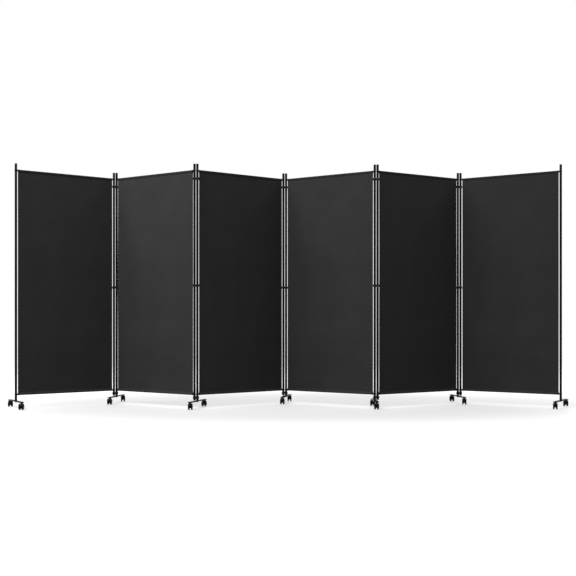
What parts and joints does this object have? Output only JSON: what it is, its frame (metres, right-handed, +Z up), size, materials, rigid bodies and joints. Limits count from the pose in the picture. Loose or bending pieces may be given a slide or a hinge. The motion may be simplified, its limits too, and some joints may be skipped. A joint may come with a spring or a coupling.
{
  "type": "folding room divider",
  "caption": "Folding screen of black cloth panels between steel posts, hinged by figure-eight clips, on turning feet with twin-wheel casters.",
  "frame": {"origin": "on the floor, below the middle of the screen as it stands in its zigzag", "axes": "+X along the screen to the right, +Y to the back, +Z up"},
  "size_m": [4.2058, 0.8019, 1.8],
  "materials": {
    "powder_coated_steel": "black powder coat with a satin sheen",
    "woven_polyester": "black plain-woven polyester, matt, stitched hems",
    "clip_plastic": "black moulded plastic, matt",
    "foot_steel": "black powder coat with a satin sheen",
    "caster_plastic": "black moulded plastic, fine grain",
    "wheel_plastic": "black moulded plastic with a slightly glossier tread",
    "brake_plastic": "black moulded plastic, matt"
  },
  "bodies": {
    "panel_1": {"panel_1_frame": "powder_coated_steel", "panel_1_cloth": "woven_polyester"},
    "panel_2": {"panel_2_frame": "powder_coated_steel", "panel_2_cloth": "woven_polyester"},
    "panel_3": {"panel_3_frame": "powder_coated_steel", "panel_3_cloth": "woven_polyester"},
    "panel_4": {"panel_4_frame": "powder_coated_steel", "panel_4_cloth": "woven_polyester"},
    "panel_5": {"panel_5_frame": "powder_coated_steel", "panel_5_cloth": "woven_polyester"},
    "panel_6": {"panel_6_frame": "powder_coated_steel", "panel_6_cloth": "woven_polyester"},
    "clips_1": {"fold_1_clips": "clip_plastic"},
    "clips_2": {"fold_2_clips": "clip_plastic"},
    "clips_3": {"fold_3_clips": "clip_plastic"},
    "clips_4": {"fold_4_clips": "clip_plastic"},
    "clips_5": {"fold_5_clips": "clip_plastic"},
    "foot_1": {"foot_1_bar": "foot_steel"},
    "foot_1_front_caster": {"foot_1_front_caster_housing": "caster_plastic"},
    "foot_1_front_wheels": {"foot_1_front_caster_wheels": "wheel_plastic"},
    "foot_1_brake": {"foot_1_front_caster_brake": "brake_plastic"},
    "foot_1_rear_caster": {"foot_1_rear_caster_housing": "caster_plastic"},
    "foot_1_rear_wheels": {"foot_1_rear_caster_wheels": "wheel_plastic"},
    "foot_2": {"foot_2_bar": "foot_steel"},
    "foot_2_front_caster": {"foot_2_front_caster_housing": "caster_plastic"},
    "foot_2_front_wheels": {"foot_2_front_caster_wheels": "wheel_plastic"},
    "foot_2_brake": {"foot_2_front_caster_brake": "brake_plastic"},
    "foot_2_rear_caster": {"foot_2_rear_caster_housing": "caster_plastic"},
    "foot_2_rear_wheels": {"foot_2_rear_caster_wheels": "wheel_plastic"},
    "foot_3": {"foot_3_bar": "foot_steel"},
    "foot_3_front_caster": {"foot_3_front_caster_housing": "caster_plastic"},
    "foot_3_front_wheels": {"foot_3_front_caster_wheels": "wheel_plastic"},
    "foot_3_brake": {"foot_3_front_caster_brake": "brake_plastic"},
    "foot_3_rear_caster": {"foot_3_rear_caster_housing": "caster_plastic"},
    "foot_3_rear_wheels": {"foot_3_rear_caster_wheels": "wheel_plastic"},
    "foot_4": {"foot_4_bar": "foot_steel"},
    "foot_4_front_caster": {"foot_4_front_caster_housing": "caster_plastic"},
    "foot_4_front_wheels": {"foot_4_front_caster_wheels": "wheel_plastic"},
    "foot_4_brake": {"foot_4_front_caster_brake": "brake_plastic"},
    "foot_4_rear_caster": {"foot_4_rear_caster_housing": "caster_plastic"},
    "foot_4_rear_wheels": {"foot_4_rear_caster_wheels": "wheel_plastic"},
    "foot_5": {"foot_5_bar": "foot_steel"},
    "foot_5_front_caster": {"foot_5_front_caster_housing": "caster_plastic"},
    "foot_5_front_wheels": {"foot_5_front_caster_wheels": "wheel_plastic"},
    "foot_5_brake": {"foot_5_front_caster_brake": "brake_plastic"},
    "foot_5_rear_caster": {"foot_5_rear_caster_housing": "caster_plastic"},
    "foot_5_rear_wheels": {"foot_5_rear_caster_wheels": "wheel_plastic"},
    "foot_6": {"foot_6_bar": "foot_steel"},
    "foot_6_front_caster": {"foot_6_front_caster_housing": "caster_plastic"},
    "foot_6_front_wheels": {"foot_6_front_caster_wheels": "wheel_plastic"},
    "foot_6_brake": {"foot_6_front_caster_brake": "brake_plastic"},
    "foot_6_rear_caster": {"foot_6_rear_caster_housing": "caster_plastic"},
    "foot_6_rear_wheels": {"foot_6_rear_caster_wheels": "wheel_plastic"},
    "foot_7": {"foot_7_bar": "foot_steel"},
    "foot_7_front_caster": {"foot_7_front_caster_housing": "caster_plastic"},
    "foot_7_front_wheels": {"foot_7_front_caster_wheels": "wheel_plastic"},
    "foot_7_brake": {"foot_7_front_caster_brake": "brake_plastic"},
    "foot_7_rear_caster": {"foot_7_rear_caster_housing": "caster_plastic"},
    "foot_7_rear_wheels": {"foot_7_rear_caster_wheels": "wheel_plastic"}
  },
  "joints": [
    {"name": "fold_3_right_pivot", "type": "hinge", "parent": "panel_4", "child": "clips_3", "pos_m": [-0.02178, 0.22734, 0.903], "axis": [0, 0, 1], "range_deg": [-119.2, 50.8]},
    {"name": "fold_3_left_pivot", "type": "hinge", "parent": "clips_3", "child": "panel_3", "pos_m": [-0.04278, 0.22679, 0.903], "axis": [0, 0, 1], "range_deg": [-119.2, 50.8]},
    {"name": "fold_2_right_pivot", "type": "hinge", "parent": "panel_3", "child": "clips_2", "pos_m": [-0.6762, -0.22837, 0.903], "axis": [0, 0, -1], "range_deg": [-119.55, 50.45]},
    {"name": "fold_2_left_pivot", "type": "hinge", "parent": "clips_2", "child": "panel_2", "pos_m": [-0.6972, -0.22879, 0.903], "axis": [0, 0, -1], "range_deg": [-119.55, 50.45]},
    {"name": "fold_1_right_pivot", "type": "hinge", "parent": "panel_2", "child": "clips_1", "pos_m": [-1.34838, 0.20058, 0.903], "axis": [0, 0, 1], "range_deg": [-119.2, 50.8]},
    {"name": "fold_1_left_pivot", "type": "hinge", "parent": "clips_1", "child": "panel_1", "pos_m": [-1.36938, 0.20029, 0.903], "axis": [0, 0, 1], "range_deg": [-119.2, 50.8]},
    {"name": "fold_4_left_pivot", "type": "hinge", "parent": "panel_4", "child": "clips_4", "pos_m": [0.6346, -0.19404, 0.903], "axis": [0, 0, 1], "range_deg": [-116.85, 53.15]},
    {"name": "fold_4_right_pivot", "type": "hinge", "parent": "clips_4", "child": "panel_5", "pos_m": [0.65559, -0.19436, 0.903], "axis": [0, 0, 1], "range_deg": [-116.85, 53.15]},
    {"name": "fold_5_left_pivot", "type": "hinge", "parent": "panel_5", "child": "clips_5", "pos_m": [1.32418, 0.20737, 0.903], "axis": [0, 0, -1], "range_deg": [-116.25, 53.75]},
    {"name": "fold_5_right_pivot", "type": "hinge", "parent": "clips_5", "child": "panel_6", "pos_m": [1.34518, 0.20728, 0.903], "axis": [0, 0, -1], "range_deg": [-116.25, 53.75]},
    {"name": "foot_1_turn", "type": "hinge", "parent": "panel_1", "child": "foot_1", "pos_m": [-2.00831, -0.2471, 0.0525], "axis": [0, 0, 1], "range_deg": [-89, 91]},
    {"name": "foot_1_front_swivel", "type": "hinge", "parent": "foot_1", "child": "foot_1_front_caster", "pos_m": [-1.93422, -0.35695, 0.04], "axis": [0, 0, 1], "continuous": true},
    {"name": "foot_1_front_roll", "type": "hinge", "parent": "foot_1_front_caster", "child": "foot_1_front_wheels", "pos_m": [-1.93422, -0.37095, 0.02], "axis": [-1, 0, 0], "continuous": true},
    {"name": "foot_1_brake_press", "type": "hinge", "parent": "foot_1_front_caster", "child": "foot_1_brake", "pos_m": [-1.93422, -0.38325, 0.04313], "axis": [1, 0, 0], "range_deg": [0, 6]},
    {"name": "foot_1_rear_swivel", "type": "hinge", "parent": "foot_1", "child": "foot_1_rear_caster", "pos_m": [-2.0824, -0.13725, 0.04], "axis": [0, 0, 1], "continuous": true},
    {"name": "foot_1_rear_roll", "type": "hinge", "parent": "foot_1_rear_caster", "child": "foot_1_rear_wheels", "pos_m": [-2.08411, -0.12336, 0.02], "axis": [0.9925, 0.1219, 0], "continuous": true},
    {"name": "foot_2_turn", "type": "hinge", "parent": "panel_2", "child": "foot_2", "pos_m": [-1.34838, 0.20058, 0.0525], "axis": [0, 0, 1], "range_deg": [-111.4, 68.6]},
    {"name": "foot_2_front_swivel", "type": "hinge", "parent": "foot_2", "child": "foot_2_front_caster", "pos_m": [-1.37593, 0.07098, 0.04], "axis": [0, 0, 1], "continuous": true},
    {"name": "foot_2_front_roll", "type": "hinge", "parent": "foot_2_front_caster", "child": "foot_2_front_wheels", "pos_m": [-1.37642, 0.05699, 0.02], "axis": [-0.9994, 0.0349, 0], "continuous": true},
    {"name": "foot_2_brake_press", "type": "hinge", "parent": "foot_2_front_caster", "child": "foot_2_brake", "pos_m": [-1.37685, 0.04469, 0.04313], "axis": [0.9994, -0.0349, 0], "range_deg": [0, 6]},
    {"name": "foot_2_rear_swivel", "type": "hinge", "parent": "foot_2", "child": "foot_2_rear_caster", "pos_m": [-1.32083, 0.33019, 0.04], "axis": [0, 0, 1], "continuous": true},
    {"name": "foot_2_rear_roll", "type": "hinge", "parent": "foot_2_rear_caster", "child": "foot_2_rear_wheels", "pos_m": [-1.32278, 0.34405, 0.02], "axis": [0.9903, 0.1392, 0], "continuous": true},
    {"name": "foot_3_turn", "type": "hinge", "parent": "panel_3", "child": "foot_3", "pos_m": [-0.6762, -0.22837, 0.0525], "axis": [0, 0, 1], "range_deg": [-36.3, 143.7]},
    {"name": "foot_3_front_swivel", "type": "hinge", "parent": "foot_3", "child": "foot_3_front_caster", "pos_m": [-0.71715, -0.35439, 0.04], "axis": [0, 0, 1], "continuous": true},
    {"name": "foot_3_front_roll", "type": "hinge", "parent": "foot_3_front_caster", "child": "foot_3_front_wheels", "pos_m": [-0.71447, -0.36813, 0.02], "axis": [-0.9816, -0.1908, 0], "continuous": true},
    {"name": "foot_3_brake_press", "type": "hinge", "parent": "foot_3_front_caster", "child": "foot_3_brake", "pos_m": [-0.71213, -0.3802, 0.04313], "axis": [0.9816, 0.1908, 0], "range_deg": [0, 6]},
    {"name": "foot_3_rear_swivel", "type": "hinge", "parent": "foot_3", "child": "foot_3_rear_caster", "pos_m": [-0.63526, -0.10236, 0.04], "axis": [0, 0, 1], "continuous": true},
    {"name": "foot_3_rear_roll", "type": "hinge", "parent": "foot_3_rear_caster", "child": "foot_3_rear_wheels", "pos_m": [-0.63958, -0.08904, 0.02], "axis": [0.9511, 0.309, 0], "continuous": true},
    {"name": "foot_4_turn", "type": "hinge", "parent": "panel_4", "child": "foot_4", "pos_m": [-0.02178, 0.22734, 0.0525], "axis": [0, 0, 1], "range_deg": [-110.7, 69.3]},
    {"name": "foot_4_front_swivel", "type": "hinge", "parent": "foot_4", "child": "foot_4_front_caster", "pos_m": [-0.04933, 0.09774, 0.04], "axis": [0, 0, 1], "continuous": true},
    {"name": "foot_4_front_roll", "type": "hinge", "parent": "foot_4_front_caster", "child": "foot_4_front_wheels", "pos_m": [-0.05079, 0.08381, 0.02], "axis": [-0.9945, 0.1045, 0], "continuous": true},
    {"name": "foot_4_brake_press", "type": "hinge", "parent": "foot_4_front_caster", "child": "foot_4_brake", "pos_m": [-0.05208, 0.07158, 0.04313], "axis": [0.9945, -0.1045, 0], "range_deg": [0, 6]},
    {"name": "foot_4_rear_swivel", "type": "hinge", "parent": "foot_4", "child": "foot_4_rear_caster", "pos_m": [0.00577, 0.35695, 0.04], "axis": [0, 0, 1], "continuous": true},
    {"name": "foot_4_rear_roll", "type": "hinge", "parent": "foot_4_rear_caster", "child": "foot_4_rear_wheels", "pos_m": [0.00577, 0.37095, 0.02], "axis": [1, 0, 0], "continuous": true},
    {"name": "foot_5_turn", "type": "hinge", "parent": "panel_4", "child": "foot_5", "pos_m": [0.6346, -0.19404, 0.0525], "axis": [0, 0, 1], "range_deg": [-123.7, 56.3]},
    {"name": "foot_5_front_swivel", "type": "hinge", "parent": "foot_5", "child": "foot_5_front_caster", "pos_m": [0.63691, -0.32653, 0.04], "axis": [0, 0, 1], "continuous": true},
    {"name": "foot_5_front_roll", "type": "hinge", "parent": "foot_5_front_caster", "child": "foot_5_front_wheels", "pos_m": [0.634, -0.34022, 0.02], "axis": [-0.9781, 0.2079, 0], "continuous": true},
    {"name": "foot_5_brake_press", "type": "hinge", "parent": "foot_5_front_caster", "child": "foot_5_brake", "pos_m": [0.63144, -0.35225, 0.04313], "axis": [0.9781, -0.2079, 0], "range_deg": [0, 6]},
    {"name": "foot_5_rear_swivel", "type": "hinge", "parent": "foot_5", "child": "foot_5_rear_caster", "pos_m": [0.63228, -0.06157, 0.04], "axis": [0, 0, 1], "continuous": true},
    {"name": "foot_5_rear_roll", "type": "hinge", "parent": "foot_5_rear_caster", "child": "foot_5_rear_wheels", "pos_m": [0.63179, -0.04757, 0.02], "axis": [0.9994, 0.0349, 0], "continuous": true},
    {"name": "foot_6_turn", "type": "hinge", "parent": "panel_5", "child": "foot_6", "pos_m": [1.32418, 0.20737, 0.0525], "axis": [0, 0, 1], "range_deg": [-70, 110]},
    {"name": "foot_6_front_swivel", "type": "hinge", "parent": "foot_6", "child": "foot_6_front_caster", "pos_m": [1.34946, 0.07731, 0.04], "axis": [0, 0, 1], "continuous": true},
    {"name": "foot_6_front_roll", "type": "hinge", "parent": "foot_6_front_caster", "child": "foot_6_front_wheels", "pos_m": [1.34703, 0.06352, 0.02], "axis": [-0.9848, 0.1736, 0], "continuous": true},
    {"name": "foot_6_brake_press", "type": "hinge", "parent": "foot_6_front_caster", "child": "foot_6_brake", "pos_m": [1.34489, 0.05141, 0.04313], "axis": [0.9848, -0.1736, 0], "range_deg": [0, 6]},
    {"name": "foot_6_rear_swivel", "type": "hinge", "parent": "foot_6", "child": "foot_6_rear_caster", "pos_m": [1.2989, 0.33744, 0.04], "axis": [0, 0, 1], "continuous": true},
    {"name": "foot_6_rear_roll", "type": "hinge", "parent": "foot_6_rear_caster", "child": "foot_6_rear_wheels", "pos_m": [1.30414, 0.35042, 0.02], "axis": [0.9272, -0.3746, 0], "continuous": true},
    {"name": "foot_7_turn", "type": "hinge", "parent": "panel_6", "child": "foot_7", "pos_m": [2.01024, -0.20027, 0.0525], "axis": [0, 0, 1], "range_deg": [-88.5, 91.5]},
    {"name": "foot_7_front_swivel", "type": "hinge", "parent": "foot_7", "child": "foot_7_front_caster", "pos_m": [1.93807, -0.31139, 0.04], "axis": [0, 0, 1], "continuous": true},
    {"name": "foot_7_front_roll", "type": "hinge", "parent": "foot_7_front_caster", "child": "foot_7_front_wheels", "pos_m": [1.93422, -0.32485, 0.02], "axis": [-0.9613, 0.2756, 0], "continuous": true},
    {"name": "foot_7_brake_press", "type": "hinge", "parent": "foot_7_front_caster", "child": "foot_7_brake", "pos_m": [1.93083, -0.33667, 0.04313], "axis": [0.9613, -0.2756, 0], "range_deg": [0, 6]},
    {"name": "foot_7_rear_swivel", "type": "hinge", "parent": "foot_7", "child": "foot_7_rear_caster", "pos_m": [2.08241, -0.08914, 0.04], "axis": [0, 0, 1], "continuous": true},
    {"name": "foot_7_rear_roll", "type": "hinge", "parent": "foot_7_rear_caster", "child": "foot_7_rear_wheels", "pos_m": [2.08435, -0.07528, 0.02], "axis": [0.9903, -0.1392, 0], "continuous": true}
  ]
}
